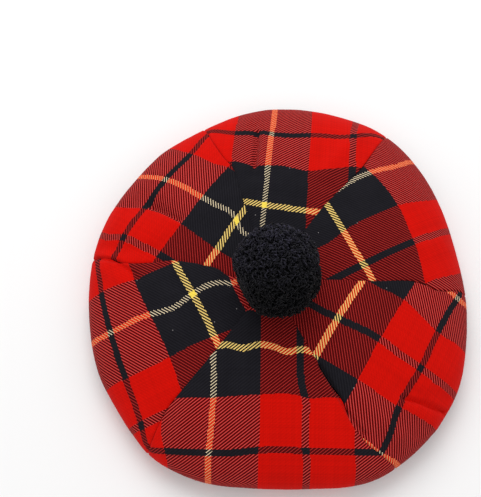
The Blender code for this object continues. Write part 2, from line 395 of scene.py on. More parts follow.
# %% Mix the colours of two crossing threads
def crossed_colour(tree, running, crossing, running_shows, crossing_shows, tops):
    """The colour seen where a running and a crossing thread meet, with painted shade and highlight.
    """
    running_red, running_green = red_and_green(tree, running)
    crossing_red, crossing_green = red_and_green(tree, crossing)
    contrast = sums(tree, "SUBTRACT", crossing_red, running_red)
    red_on_black = sums(tree, "GREATER_THAN", sums(tree, "ABSOLUTE", contrast), FAR_APART)
    red_crosses = sums(tree, "MAXIMUM", contrast, 0.0)
    red_runs = sums(tree, "MULTIPLY", sums(tree, "MINIMUM", contrast, 0.0), RED_UNDER_YELLOW)
    both_yellow = sums(tree, "GREATER_THAN", sums(tree, "MULTIPLY", running_green, crossing_green),
                       BOTH_YELLOW)
    orange_running = sums(tree, "MULTIPLY", sums(tree, "MULTIPLY", red_crosses, running_green),
                          RED_OVER_YELLOW)
    orange_crossing = sums(tree, "MULTIPLY", red_runs, crossing_green)

    def where_red_on_black(much):
        return sums(tree, "MULTIPLY", red_on_black, much)

    # painted shade: the darker of the two colours fills the gaps between floats, darker still by
    # yellow
    gap = blended(tree, "DARKEN", 1.0, running, crossing)
    gap = blended(tree, "MULTIPLY", orange_running, gap, YELLOW_SHADE)
    running = blended(tree, "MULTIPLY", orange_running, running, ORANGE_RUNNING)
    running = blended(tree, "MIX", where_red_on_black(RUNNING_SHADED), running, gap)
    running = blended(tree, "ADD", where_red_on_black(RUNNING_HIGHLIGHT), running, TOPS_HIGHLIGHT)
    crossing = blended(tree, "MULTIPLY", orange_crossing, crossing, ORANGE_CROSSING)
    crossing = blended(tree, "MIX", where_red_on_black(CROSSING_SHADED), crossing, gap)
    # painted highlight on the tops of red threads that cross black ones
    pale = sums(tree, "MULTIPLY", sums(tree, "MULTIPLY", red_crosses, tops), red_on_black)
    crossing = blended(tree, "ADD", pale, crossing, TOPS_HIGHLIGHT)
    crossing = blended(tree, "ADD", orange_running, crossing, YELLOW_FLUFF)

    seen = blended(tree, "MIX", running_shows, gap, running)
    seen = blended(tree, "MIX", crossing_shows, seen, crossing)
    seen = blended(tree, "MIX", both_yellow, seen, BRIGHT_YELLOW)
    dark = sums(tree, "LESS_THAN", red_and_green(tree, seen)[0], STILL_DARK)
    return blended(tree, "MIX", where_red_on_black(dark), seen, RED_FLUFF)


print("yellow over yellow:", [round(part, 3) for part in BRIGHT_YELLOW[:3]])

# %% [markdown]
# The twill says which thread is on top. Counting the running threads one way and the crossing
# ones the other gives the slanted lines, and each float leans a little along its line. Modelling
# a hundred thousand floats would be far too much, so their height is only a bump in the material.
# The light on the cloth comes from four things: how each thread was spun, where the cloth is
# worn, the round backs of the threads, and the raised lines of the twill.

# %% The twill
TWILL = 4                         # threads from one float to the next
SLANT = 0.7                       # how far a float leans along the twill line
RUNNING_SHARE = 0.24              # how much of the twill shows the running threads
CROSSING_SHARE = 0.45             # and how much the crossing ones, which lie on top of them
HIGHLIGHT_SHARE = 0.18                 # how much of the twill gets the painted highlight on red tops
NAP = (0.0050, 0.0048, 0.0056, 1.0)         # the pale hair on the black twill, more on the raised lines as a painted highlight
LINT, LINT_SHARE = paint(125, 121, 121), 0.0005
BLACK_REDNESS = 0.02              # cloth that is less red than this is black both ways


def twill_step(tree, running, running_part, along):
    """How far a place is from one line of the twill to the next, 0 to 1."""
    leaning = sums(tree, "MULTIPLY_ADD", running_part, SLANT, running)
    counted = sums(tree, "ADD", leaning, sums(tree, "DIVIDE", along, CROSSING_THREAD))
    return sums(tree, "FRACT", sums(tree, "DIVIDE", counted, float(TWILL)))


def with_lint(tree, woven, running, crossing, where):
    """A few crossings of two threads, picked at random, hold a speck of lint."""
    crossing_point = tree.nodes.new("ShaderNodeCombineXYZ")
    feed(tree, crossing_point.inputs["X"], running)
    feed(tree, crossing_point.inputs["Y"], crossing)
    speck = tree.nodes.new("ShaderNodeTexWhiteNoise")
    speck.noise_dimensions = "2D"
    feed(tree, speck.inputs["Vector"], crossing_point.outputs[0])
    picked = sums(tree, "LESS_THAN", speck.outputs["Value"], LINT_SHARE)
    return blended(tree, "MIX", sums(tree, "MULTIPLY", picked, where), woven, LINT)


def dimmed(tree, colour, light):
    """A colour in more or less light."""
    grey = tree.nodes.new("ShaderNodeCombineXYZ")
    for socket in grey.inputs:
        feed(tree, socket, light)
    return blended(tree, "MULTIPLY", 1.0, colour, grey.outputs[0])


print("length of a float, mm:", round(TWILL * CROSSING_SHARE * CROSSING_THREAD, 2))

# %% Weave the tartan material
WORN_PATCHES = 60.0               # to a metre
SPUN_SEEDS = (17.0, 41.0)
SPUN_LIGHT = (0.10, 0.88)         # how much light each thread has: a slope and what it starts from
WORN_LIGHT = (0.12, 0.95)
ROUND_LIGHT = (0.12, 0.92)
TWILL_LIGHT = (0.05, 1.0)
NAP_HIGHLIGHT_ON_TWILL = 0.5                # painted highlight: how much more pale hair the raised lines get
TWILL_HEIGHT = (0.3, 0.5)
THREAD_HEIGHT = 0.2
TARTAN_RELIEF, TARTAN_RELIEF_SHOWS = 0.10, 0.5      # mm, and a share


def weave_tartan():
    made, tree, shader = new_material("tartan_cloth", roughness=0.9, sheen=0.03)
    sett_across, sett_along = map_in_mm(tree, "sett")
    across, along = map_in_mm(tree, "threads")
    running, running_part = threads(tree, across, RUNNING_THREAD)
    crossing, crossing_part = threads(tree, along, CROSSING_THREAD)

    step = twill_step(tree, running, running_part, along)
    from_float = sums(tree, "ABSOLUTE", sums(tree, "SUBTRACT", step, 0.5))
    running_shows = sums(tree, "LESS_THAN", from_float, RUNNING_SHARE / 2)
    crossing_shows = sums(tree, "GREATER_THAN", from_float, 0.5 - CROSSING_SHARE / 2)
    tops = sums(tree, "GREATER_THAN", from_float, 0.5 - HIGHLIGHT_SHARE / 2)
    raised = sums(tree, "COSINE", sums(tree, "MULTIPLY", step, math.tau))

    running_colour = sett_colours(
        tree, thread_middle(tree, sett_across, running_part, RUNNING_THREAD),
        YELLOW_RUNNING, RUNNING_STRIPES)
    crossing_colour = sett_colours(
        tree, thread_middle(tree, sett_along, crossing_part, CROSSING_THREAD),
        YELLOW_CROSSING, CROSSING_STRIPES)
    woven = crossed_colour(tree, running_colour, crossing_colour, running_shows,
                           crossing_shows, tops)

    all_black = sums(tree, "LESS_THAN", red_and_green(tree, woven)[0], BLACK_REDNESS)
    worn = cloudiness(tree, object_place(tree), WORN_PATCHES, detail=3.0)
    # pale hair in worn patches, and a painted highlight along the raised lines of the twill
    lifted = sums(tree, "MULTIPLY_ADD", raised, NAP_HIGHLIGHT_ON_TWILL, worn)
    woven = blended(tree, "ADD", sums(tree, "MULTIPLY", lifted, all_black), woven, NAP)
    woven = with_lint(tree, woven, running, crossing, all_black)

    round_back = rounded(tree, crossing_part)
    spun = sums(tree, "ADD", *(uneven(tree, number, seed)
                               for number, seed in zip((running, crossing), SPUN_SEEDS)))
    light = sums(tree, "MULTIPLY_ADD", spun, *SPUN_LIGHT)
    for cause, settings in ((worn, WORN_LIGHT), (round_back, ROUND_LIGHT), (raised, TWILL_LIGHT)):
        light = sums(tree, "MULTIPLY", light, sums(tree, "MULTIPLY_ADD", cause, *settings))
    feed(tree, shader.inputs["Base Color"], dimmed(tree, woven, light))

    height = sums(tree, "MULTIPLY_ADD", raised, *TWILL_HEIGHT)
    height = sums(tree, "ADD", height, sums(tree, "MULTIPLY", round_back, THREAD_HEIGHT))
    bumped(tree, shader, height, TARTAN_RELIEF * MM, TARTAN_RELIEF_SHOWS)
    return made


tartan_cloth = weave_tartan()
print("tartan nodes:", len(tartan_cloth.node_tree.nodes))

# %% [markdown]
# ## The shape of the crown
# A soft hat is not a plain turned form: its edge wanders in and out, each seam bends a little,
# and the cloth has ridges and dents. A cloth simulation would find some such shape, but not that
# of one hat as it lies. So short tables hold what a maker could measure on the hat, and a few
# functions turn them into a surface. They are nearly the same that the solid model is made from,
# so the cloth lies where its solids are.

# %% Sizes of the crown
CROWN_TOP = 50.0          # height of the crown's middle, under the pompom
CROWN_RADIUS = 143.0      # mean reach of the soft edge
FULLNESS = 2.5            # how square-shouldered the crown is: 2 is an ellipse
BUTTON = 3.0              # reach at which the six gores begin
PUFF = 2.4                # how far the middle of a gore stands above its seams
SEAM_SINK = 1.0           # how far a seam is drawn in
SEAM_SHARPNESS = 8        # the higher, the narrower the dip along a seam
SAG_EDGE = -3.0           # the curve below the edge is pulled toward this height
SAG_INNER = -8.5          # and farther in toward this one, so that it almost lies on the floor
SAG_INNER_REACH = 111.0
GATHERS, GATHER_DEPTH = 3, 1.6    # folds of each gore where the band draws it in
BAND_TOP, BAND_REACH = 36.0, 91.0
RIB_DEPTH, SEAM_GAP = 0.4, 0.34
GORE_END_REACH = BAND_REACH + RIB_DEPTH + SEAM_GAP + 0.3
GORE_END_HEIGHT = BAND_TOP - 3.5
print("width of the crown, mm:", 2 * CROWN_RADIUS)

# %% Outline, seams and folds, measured on the hat
OUTLINE = np.array([
    # turn, reach of the edge, its height
    (5, 145.6, 16.0), (15, 145.4, 17.0), (25, 148.3, 18.0), (40, 155.6, 16.0),
    (55, 160.5, 14.5), (70, 157.0, 15.5), (90, 151.6, 18.0), (112, 142.0, 17.0),
    (127, 139.2, 18.0), (140, 135.0, 19.0), (154, 134.8, 18.6), (185, 132.7, 17.5),
    (205, 136.5, 16.5), (217, 138.0, 16.0), (227, 141.5, 15.5), (235, 144.8, 15.0),
    (250, 144.6, 16.2), (266, 140.9, 17.5), (280, 143.3, 18.0), (298, 152.7, 16.0),
    (320, 154.1, 17.0), (332, 153.0, 17.6), (345, 148.2, 18.5),
])
SEAMS = {
    # seam: its turn at the button, halfway and at the edge
    "right_low": (359.0, 359.5, 358.5),
    "right_top": (54.0, 52.5, 53.0),
    "top_left": (106.0, 107.0, 110.5),
    "left_high": (166.5, 170.0, 169.5),
    "left_low": (233.5, 232.0, 234.0),
    "low_right": (298.0, 299.5, 304.0),
}
SEAM_BENDS = {
    # seam: share of the way out, and how far the sewn seam strays there, mm counterclockwise
    "right_low": ((0.5, 0.0), (0.76, 0.9), (0.82, -2.2), (0.89, -1.3), (0.96, 0.9), (1.0, 0.0)),
    "right_top": ((0.25, 1.6), (0.45, 1.8), (0.62, 0.0), (0.74, -0.7), (0.88, 0.5), (1.0, 0.6)),
    "top_left": ((0.4, 0.3), (0.55, -1.3), (0.65, -2.4), (0.72, -0.2), (0.84, 1.3), (1.0, 0.0)),
    "left_high": ((0.2, 4.3), (0.3, -1.3), (0.37, -2.1), (0.54, -2.9), (0.64, 0.1), (0.83, 1.8),
                  (0.89, -0.7), (1.0, -0.8)),
    "left_low": ((0.3, 1.3), (0.45, 1.4), (0.68, -0.6), (0.8, -2.1), (0.9, -1.2), (1.0, 0.0)),
    "low_right": ((0.3, -0.2), (0.55, -1.1), (0.655, -1.3), (0.735, -4.7), (0.8, -5.2),
                  (0.86, -4.5), (0.91, -2.5), (0.96, -0.9), (1.0, 0.5)),
}
SOFT_FOLDS = (
    # turn, reach, turn, reach, half width, height (below 0 a dent)
    (141, 92, 148, 118, 9.0, -2.6),
    (165, 88, 166, 134, 6.0, -2.4),
    (306, 96, 309, 140, 6.5, 2.6),
    (319, 118, 326, 148, 6.0, -1.8),
    (63, 96, 60, 142, 7.0, 2.2),
    (238, 100, 239, 138, 7.0, 1.8),
    (97, 84, 95, 128, 5.0, -1.4),
    (12, 86, 14, 132, 8.0, 1.6),
)
print("seams:", ", ".join(SEAMS))


# %% Read the tables as smooth curves
def eased_between(part, start, end, slope_start, slope_end):
    """A cubic curve from one value to the next, with a given slope at each."""
    part2, part3 = part ** 2, part ** 3
    return ((2 * part3 - 3 * part2 + 1) * start + (part3 - 2 * part2 + part) * slope_start
            + (3 * part2 - 2 * part3) * end + (part3 - part2) * slope_end)


def smooth_outline(turn, column):
    """Read a column of OUTLINE as a smooth closed curve through its rows."""
    turn = np.mod(turn, 360)
    count = len(OUTLINE)
    after = np.searchsorted(OUTLINE[:, 0], turn, side="right")
    turns, values = [], []
    for step in (-2, -1, 0, 1):
        index = after + step
        turns.append(OUTLINE[index % count, 0] + 360 * (index // count))
        values.append(OUTLINE[index % count, column])
    span = turns[2] - turns[1]
    part = (turn - turns[1]) / span
    slope_in = (values[2] - values[0]) / (turns[2] - turns[0]) * span
    slope_out = (values[3] - values[1]) / (turns[3] - turns[1]) * span
    return eased_between(part, values[1], values[2], slope_in, slope_out)


def smooth_line(place, marks):
    """Read a table of pairs as a smooth line through its places; it stays level beyond its ends."""
    at, values = np.array(marks, dtype=float).T
    if len(at) == 1:
        return np.full_like(place, values[0])
    slopes = np.gradient(values, at)
    slopes[0] = slopes[-1] = 0
    place = np.clip(place, at[0], at[-1])
    index = np.clip(np.searchsorted(at, place, side="right") - 1, 0, len(at) - 2)
    span = at[index + 1] - at[index]
    part = (place - at[index]) / span
    return eased_between(part, values[index], values[index + 1], slopes[index] * span,
                         slopes[index + 1] * span)


print("reach of the edge, mm:", smooth_outline(np.arange(0, 360, 60), 1).round(1))

# %% Where the seams and the folds run
BENDS_WIDEN_TO = 0.2      # nearer to the button than this share, a bend keeps its angle


def seam_turn(seam, share):
    """The seam's turn at a share of the way out: a parabola through three values, and its bends."""
    start, half, end = SEAMS[seam]
    plain = (start * (1 - share) * (1 - 2 * share) + 4 * half * share * (1 - share)
             + end * share * (2 * share - 1))
    reach = CROWN_RADIUS * np.maximum(share, BENDS_WIDEN_TO)
    stray = smooth_line(share, SEAM_BENDS[seam]) / reach
    return plain + np.degrees(stray)


def gore_turns(first, last, share):
    """The turns of a gore's two seams."""
    turn_a, turn_b = seam_turn(first, share), seam_turn(last, share)
    return np.where(turn_b < turn_a, turn_a - 360, turn_a), turn_b


def polar(turn, reach):
    return reach * np.cos(np.radians(turn)), reach * np.sin(np.radians(turn))


def from_line(x, y, start, end):
    """How far each place is from the straight line between two others."""
    (ax, ay), (bx, by) = start, end
    length = (bx - ax) ** 2 + (by - ay) ** 2
    share = np.clip(((x - ax) * (bx - ax) + (y - ay) * (by - ay)) / length, 0, 1)
    return np.hypot(x - ax - share * (bx - ax), y - ay - share * (by - ay))


def fold_height(x, y, folds):
    """Sum of ridges and dents at places seen from above, with the crown's middle at 0, 0."""
    total = np.zeros_like(x)
    for turn_a, reach_a, turn_b, reach_b, half_width, height in folds:
        away = from_line(x, y, polar(turn_a, reach_a), polar(turn_b, reach_b))
        total += height * np.exp(-(away / half_width) ** 2)
    return total


for seam in SEAMS:
    print(seam, "runs to the edge at a turn of", seam_turn(seam, np.array([1.0])).round(1)[0])

# %% [markdown]
# Seen from the side, the upper cloth follows an ellipse that is a little square in the shoulders.
# Each gore puffs up between its seams, and carries the soft folds, which die out where the cloth
# turns down over the edge. Below the edge the cloth runs back to the band in one sagging curve,
# through four points that pull on it, and is gathered more and more.

# %% The plain surface of a gore
LEAN_START = math.asin((BUTTON / CROWN_RADIUS) ** (FULLNESS / 2))
FOLDS_FADE = 3            # the higher, the later the soft folds die out toward the edge


def gore_surface(first, last, way, v):
    """Points of a gore. The way is 0 at the button, 1 at the edge, 2 at the band; v is -1 to 1."""
    lean = LEAN_START + (math.pi / 2 - LEAN_START) * np.minimum(way, 1.0)
    share = np.sin(lean) ** (2 / FULLNESS)
    turn_a, turn_b = gore_turns(first, last, share)
    turn = turn_a + (turn_b - turn_a) * (v + 1) / 2
    edge, low = smooth_outline(turn, 1), smooth_outline(turn, 2)
    level = np.cos(lean)
    arch = np.sin(math.pi * np.minimum(share, 1.0))
    x, y = polar(turn, edge * share)
    z = low + (CROWN_TOP - low) * level + PUFF * (1 - v ** 2) * arch
    z += -SEAM_SINK * np.abs(v) ** SEAM_SHARPNESS * arch
    z += fold_height(x, y, SOFT_FOLDS) * np.minimum(1.0, FOLDS_FADE * level)

    under = np.clip(way - 1, 0, 1)
    left = 1 - under
    weights = (left ** 3, 3 * left ** 2 * under, 3 * left * under ** 2, under ** 3)
    reach = sum(w * r for w, r in zip(weights, (edge, edge, SAG_INNER_REACH, GORE_END_REACH)))
    low_z = sum(w * h for w, h in zip(weights, (low, SAG_EDGE, SAG_INNER, GORE_END_HEIGHT)))
    low_z += GATHER_DEPTH * np.sqrt(under) * np.cos(math.pi * GATHERS * (v + 1))
    low_x, low_y = polar(turn, reach)
    below = way > 1
    points = np.stack([np.where(below, low_x, x), np.where(below, low_y, y),
                       np.where(below, low_z, z)], axis=-1)
    return points, turn, share, under


halfway, _, _, _ = gore_surface("left_low", "low_right", np.array([0.5, 1.0, 1.5]), np.zeros(3))
print("heights down the gore_bottom, mm:", halfway[:, 2].round(1))

# %% [markdown]
# ## Cloth that was sewn
# What makes a smooth surface look like sewn cloth is small: it rolls down into each seam, puckers
# along the stitches, waves gently everywhere, and is drawn into tucks where the band holds it. A
# bump in the material would shade these and leave the outline smooth, so they move the points
# themselves, straight out of the plain surface.

# %% Creases
FINE_FOLDS = (
    # half width, height, then the line that it follows: turn, reach, turn, reach, and so on
    (1.6, -3.4, 93.6, 122.6, 94.0, 116.6, 94.8, 105.0, 96.6, 89.4),
    (4.0, 0.7, 91.0, 118, 92.4, 92),
    (1.6, -3.7, 318.3, 123.5, 319.2, 127.5, 321.1, 135, 322.1, 142, 323.0, 148, 323.8, 152),
    (4.5, 0.9, 315.0, 127, 317.5, 136, 319.5, 150),
    (1.7, -2.5, 169.3, 133, 170.1, 122, 171.0, 111, 172.4, 108, 174.7, 101, 176.7, 96, 179.0, 93.5),
    (5.0, 1.2, 174.0, 122, 177.5, 110, 181.5, 100),
    (3.6, -2.2, 144.0, 107, 143.0, 96, 142.4, 80),
    (1.9, -3.8, 145.2, 105, 144.5, 99, 144.1, 90, 144.4, 81),
    (1.5, -2.0, 299.0, 70, 299.2, 83, 299.3, 97, 299.4, 107, 299.9, 117, 300.9, 124),
    (4.0, 1.0, 296.4, 83, 297.4, 97, 298.0, 110, 299.0, 119),
)


def line_folds(x, y, folds):
    """Sum of ridges and dents that follow bent lines, seen from above."""
    total = np.zeros_like(x)
    for half_width, height, *line in folds:
        corners = list(zip(*polar(np.array(line[0::2]), np.array(line[1::2]))))
        away = np.full_like(x, np.inf)
        for start, end in zip(corners, corners[1:]):
            away = np.minimum(away, from_line(x, y, start, end))
        total += height * np.exp(-(away / half_width) ** 2)
    return total


print("creases and small ridges:", len(FINE_FOLDS))

# %% Waves, and the way the cloth faces
WAVES = ((38.0, 0.55), (15.0, 0.22), (6.0, 0.07))    # size, height
WAVE_SHIFT = (7.3, 3.1, 5.7)      # for each seed, so that no two sets of waves are alike
ROW_STEP = 1.5                    # distance between the rows of points
FINE_ROWS = 900


def wavy(points, size, seed):
    """Smooth random values, -1 to 1, at each point, for waves of about that size in mm."""
    flat = points.reshape(-1, 3) / size
    shift = Vector([seed * part for part in WAVE_SHIFT])
    found = [noise.noise(Vector(place) + shift) for place in flat]
    return np.array(found).reshape(points.shape[:-1])


def surface_normals(points):
    """Which way a grid of points faces, out of the hat."""
    down = np.gradient(points, axis=0)
    aside = np.gradient(points, axis=1)
    facing = np.cross(down, aside)
    return facing / np.maximum(np.linalg.norm(facing, axis=-1, keepdims=True), 1e-9)


def even_rows(first, last):
    """Ways down the gore that are the same length of cloth apart."""
    fine = np.linspace(0, 2, FINE_ROWS)
    line, _, _, _ = gore_surface(first, last, fine, np.zeros_like(fine))
    length = np.concatenate([[0], np.cumsum(np.linalg.norm(np.diff(line, axis=0), axis=1))])
    count = int(round(length[-1] / ROW_STEP))
    return np.interp(np.linspace(0, length[-1], count + 1), length, fine)


print("rows of points on gore_top:", len(even_rows("right_top", "top_left")))

# %% Rolled seams, puckers and tucks
ROLL_AT = (0.6, 0.8)      # shares of the way out between which the roll beside a seam gets sharper
ROLL_WIDTH, ROLL_DEPTH = (2.6, 1.7), (0.32, 0.8)
PUCKER_REACH, PUCKER_HEIGHT = 9.0, 0.34
PUCKER_WAVE, PUCKER_SEED = 8.0, 3
SIDE_APART, GORE_APART = 90, 40           # so that no two sides of a seam pucker alike
SEAM_FILL, FILLED = (0.4, 0.75), 0.85     # the dip along a seam is filled near the button
CALM_FROM, CALM_OVER = 0.55, 0.3          # the waves die out toward the band
TUCKS = (-0.86, -0.55, -0.27, 0.08, 0.33, 0.62, 0.9)
TUCK_DEPTH, TUCK_WIDTH, TUCK_NARROWS = 2.4, 2.6, (2.2, 1.2)
TUCK_STRAY, TUCK_MEAN, TUCK_VARIES = 0.05, 0.7, 0.3
TUCK_SHIFTS, TUCK_STRENGTHS = (3.0, 2.0), (5.0, 1.0)    # by gore and by tuck: no two are alike
TUCK_FROM, TUCK_GROWS = 0.25, 1.2
HELD_FROM, HELD_OUT = 0.8, 0.1            # close to the band the cloth is held down


def roll_and_pucker(reach, v, share, half_width, seed):
    """How far the cloth stands out beside its seams, mm."""
    from_seam = (1 - np.abs(v)) * half_width
    roll = np.clip(1 - from_seam / np.interp(share, ROLL_AT, ROLL_WIDTH), 0, 1)
    out = -np.interp(share, ROLL_AT, ROLL_DEPTH) * roll ** 2
    beside = np.stack([reach, np.sign(v) * SIDE_APART + seed * GORE_APART, np.zeros_like(reach)],
                      axis=-1)
    height = PUCKER_HEIGHT * np.exp(-from_seam / PUCKER_REACH)
    out += height * wavy(beside, PUCKER_WAVE, PUCKER_SEED)
    filled = np.clip((SEAM_FILL[1] - share) / (SEAM_FILL[1] - SEAM_FILL[0]), 0, 1)
    return out + FILLED * SEAM_SINK * np.abs(v) ** SEAM_SHARPNESS * np.sin(math.pi * share) * filled


def tuck(number, v, half_width, under, seed):
    """How far one tuck draws the cloth in where the band gathers it, mm."""
    stray = math.sin(TUCK_SHIFTS[0] * seed + TUCK_SHIFTS[1] * number)
    middle = TUCKS[number] + TUCK_STRAY * stray
    away = (v - middle) * half_width
    width = TUCK_WIDTH * (TUCK_NARROWS[0] - TUCK_NARROWS[1] * under)
    drawn = math.sin(TUCK_STRENGTHS[0] * seed + TUCK_STRENGTHS[1] * number)
    strength = TUCK_MEAN + TUCK_VARIES * drawn
    grown = np.clip(under - TUCK_FROM, 0, 1) ** TUCK_GROWS
    return TUCK_DEPTH * strength * grown * np.exp(-(away / width) ** 2)


def sewn_forms(points, first, last, v, share, under, seed):
    """How far the cloth stands out of the plain surface, mm."""
    turn_a, turn_b = gore_turns(first, last, share)
    reach = np.hypot(points[..., 0], points[..., 1])
    half_width = np.radians(turn_b - turn_a) / 2 * reach
    out = roll_and_pucker(reach, v, share, half_width, seed)
    calm = 1 - np.clip((under - CALM_FROM) / CALM_OVER, 0, 1)
    for number, (size, height) in enumerate(WAVES):
        out += height * calm * wavy(points, size, number)
    out += line_folds(points[..., 0], points[..., 1], FINE_FOLDS) * (under == 0)
    for number in range(len(TUCKS)):
        out -= tuck(number, v, half_width, under, seed)
    return np.where(under > HELD_FROM, np.minimum(out, HELD_OUT), out)


print("tucks of each gore:", len(TUCKS))

# %% [markdown]
# ## How the tartan lies on each gore
# Each gore is cut from the same cloth with its grain pointing out from the button, but the cutter
# doesn't match the stripes, so each gore shows another part of the sett. The cloth could be
# unwrapped and slid about in the UV editor until it looks right. Tables do the same in numbers:
# for each gore, which way its grain points and where its stripes lie. Between them the cloth is
# eased in or stretched a little, as a hand does when it sews.

# %% The grain of each gore
GRAIN = {
    # gore: first seam, last seam, turn of the grain
    "gore_right": ("right_low", "right_top", 27),
    "gore_top": ("right_top", "top_left", 84),
    "gore_upper_left": ("top_left", "left_high", 147),
    "gore_left": ("left_high", "left_low", 202),
    "gore_bottom": ("left_low", "low_right", 269),
    "gore_lower_right": ("low_right", "right_low", 329),
}
print("gores:", len(GRAIN))

# %% Where the stripes lie that run round the crown
CROSSING = {
    # gore: number of the first stripe (0 yellow, 1 and 3 or -1 red edges, 2 thin black), then it
    #       and the next ones outward, each as places (across, out) along it
    "gore_right": (0, (
        ((-31, 65.5), (-7, 64.5), (13, 64.5), (31, 64.5)),
        ((-52, 101), (-38, 105), (-17, 109.5), (10, 113), (35, 111), (49, 108)),
        ((0, 170),))),
    "gore_top": (0, (
        ((-34, 55), (-8, 55), (10, 56), (24, 58)),
        ((-58, 98.5), (-37, 91.5), (-20, 88), (-1, 90), (19, 89), (37, 92.5)),
        ((-72, 135), (-55, 127.5), (-24, 123), (-3, 119.5), (21, 121), (38, 120.5), (58, 125)),
        ((0, 170),))),
    "gore_upper_left": (0, (
        ((-36, 44), (-18, 44), (-1, 43), (16, 43.5)),
        ((-63, 74.5), (-43, 75.5), (-26, 76), (-1, 77), (18, 77.5), (30, 78.5)),
        ((-79, 108.5), (-56, 107), (-28, 110), (-1, 110.5), (26, 110.5), (43, 108)),
        ((0, 170),))),
    "gore_left": (-1, (
        ((-9, 26.2), (0, 26), (7, 25.6), (15, 24.4)),
        ((-38, 57.5), (-10, 54.5), (13, 52), (30, 51.5)),
        ((-38, 89.5), (-16, 88.5), (9, 86), (29, 85.5), (49, 86)),
        ((-65, 113), (-35, 117.5), (-6, 119.5), (26, 120.5), (57, 122), (74, 125)),
        ((0, 170),))),
    "gore_bottom": (-1, (
        ((-12, 23.4), (-8, 25.4), (-4, 25.2)),
        ((-36, 48.5), (-30, 48), (-18, 50.5), (-7, 48), (2, 49), (12, 52.5), (23, 50.5), (30, 52)),
        ((-47, 84.5), (-28, 83.5), (-8, 82), (20, 82), (26, 83.5), (41, 82.5)),
        ((-46, 121), (-22, 120.5), (-5, 118.5), (8, 118), (25, 118.5), (41, 118.5)),
        ((0, 170),))),
    "gore_lower_right": (0, (
        ((-32, 55), (-11, 55), (17, 56), (34, 57)),
        ((-43, 88.5), (-30, 88), (5, 87.5), (37, 89), (53, 90)),
        ((-60, 127), (-31, 121.5), (2, 122), (20, 121.5), (51, 122.5), (71, 125.5)),
        ((0, 170),))),
}
print("stripes round the crown:", sum(len(stripes) - 1 for _, stripes in CROSSING.values()))

# %% Where the stripes lie that run outward
RUNNING = {
    # gore: number of the first stripe (0 yellow, 1 and -1 red edge, 2 and -2 thin black),
    #       then it and its neighbours, each as places (out, across) along it
    "gore_right": (-3, (
        ((101, -51), (134, -53.5)),
        ((38, -20.5), (63, -20.5), (77, -20.5), (110, -20.5), (139, -21.5)),
        ((44, 4), (71, 8.5), (96, 9.5), (114, 9), (144, 5)),
        ((76, 39.5), (88, 41.5), (106, 42.5), (114, 42), (131, 40), (146, 41)))),
    "gore_top": (-2, (
        ((98, -54), (127, -53.5), (154, -57)),
        ((44, -22), (66, -21.5), (91, -21), (113, -21), (142, -21)),
        ((41, 9), (56, 9), (76, 9), (98, 9.5), (121, 9), (144, 8.5)),
        ((90, 37), (108, 37.5), (135, 37)))),
    "gore_upper_left": (-1, (
        ((74, -59), (84, -56.5), (100, -56), (120, -54.5)),
        ((33, -19), (50, -27.5), (66, -26.5), (78, -26.5), (94, -27.5), (110, -26.5), (130, -22.5)),
        ((33, 2.5), (50, 1.7), (64, 0.3), (79, -1.1), (95, -1.5), (111, 1.5), (131, 8)),
        ((83, 26.5), (96, 27), (109, 28), (124, 33)))),
    "gore_left": (-1, (
        ((88, -37.5), (112, -41)),
        ((25, -6.5), (34, -10.5), (44, -11.5), (55, -9.5), (71, -6), (80, -7), (88, -8.5),
         (115, -9), (133, -10)),
        ((30, 24), (48, 23.6), (64, 23.5), (84, 25.2), (116, 26), (130, 25)),
        ((120, 59), (128, 58.5)))),
    "gore_bottom": (-1, (
        ((106, -72.5), (126, -68.5)),
        ((53, -38), (80, -37.5), (103, -38.5), (130, -40.5)),
        ((54, -6), (80, -5.5), (109, -6), (129, -6.5)),
        ((55, 21.5), (67, 21.5), (73, 22), (79, 23.5), (85, 25), (97, 25), (114, 25),
         (129, 26.5)))),
    "gore_lower_right": (0, (
        ((114, -63.5), (126, -64), (138, -62.5)),
        ((87, -30), (99, -30.5), (114, -31), (124, -30), (133, -29), (150, -27.5)),
        ((38, -2), (57, -0.5), (87, 2), (103.5, 0.5), (121, 0.5), (134.5, 0), (150, 0.5)),
        ((67, 35), (83, 37), (91, 36.5), (106, 33), (121, 30), (139, 32)))),
}


print("stripes that run outward:", sum(len(stripes) for _, stripes in RUNNING.values()))

# %% From a point of the gore to its place on the cloth
EDGE_SLOPE = (
    # share of the way out, cloth used up by the slope
    (0.0, 0.0), (0.5, 0.2), (0.7, 0.6), (0.8, 1.1), (0.85, 1.5), (0.9, 2.0), (0.95, 3.0),
    (0.98, 4.2), (0.99, 6.0), (1.0, 9.5),
)
UNDER_EASE = 0.5          # how much of the fullness the underside loses toward the band
STRIPE_CALM = 3.0         # the cloth is not stretched this near to the middle of a stripe


def sett_place(place, stripes, first_number):
    """Where in the sett a place is, in mm, from the places of the numbered stripes beside it."""
    found = first_number * QUARTER + np.minimum(place - stripes[0], 0)
    for low, high in zip(stripes, stripes[1:]):
        gap = high - low
        inside = np.clip(place - low, 0, gap)
        calm_low = np.minimum(inside, STRIPE_CALM)
        calm_high = np.maximum(inside - (gap - STRIPE_CALM), 0)
        eased = np.clip(inside - STRIPE_CALM, 0, gap - 2 * STRIPE_CALM)
        eased = eased * (QUARTER - 2 * STRIPE_CALM) / (gap - 2 * STRIPE_CALM)
        found += calm_low + calm_high + eased
    return found + np.maximum(place - stripes[-1], 0)


